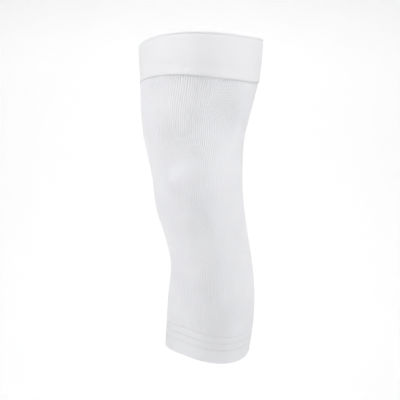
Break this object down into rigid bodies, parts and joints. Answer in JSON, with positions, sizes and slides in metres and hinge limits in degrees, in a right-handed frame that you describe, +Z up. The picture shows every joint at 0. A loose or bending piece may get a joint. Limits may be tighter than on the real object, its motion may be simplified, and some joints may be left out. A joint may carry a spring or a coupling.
{
  "type": "knee sleeve",
  "caption": "Pull-on knitted knee sleeve: a ribbed tube shaped to a slightly bent leg, with a doubled elastic top band and a turned bottom hem.",
  "frame": {"origin": "middle of the leg hollow, level with the middle of the kneecap", "axes": "+Z up the leg hollow towards the thigh, -Y towards the front of the knee, +X towards the outer side of the leg"},
  "size_m": [0.1351, 0.1578, 0.374],
  "materials": {
    "rib_knit": "white ribbed elastic knit, matt, fine vertical ribs",
    "band_elastic": "white close smooth elastic knit, matt with a faint sheen",
    "hem_knit": "white plain elastic knit, matt, with two rows of stitches"
  },
  "bodies": {
    "root": {"sleeve_body": "rib_knit", "top_band": "band_elastic", "bottom_hem": "hem_knit"}
  },
  "joints": []
}
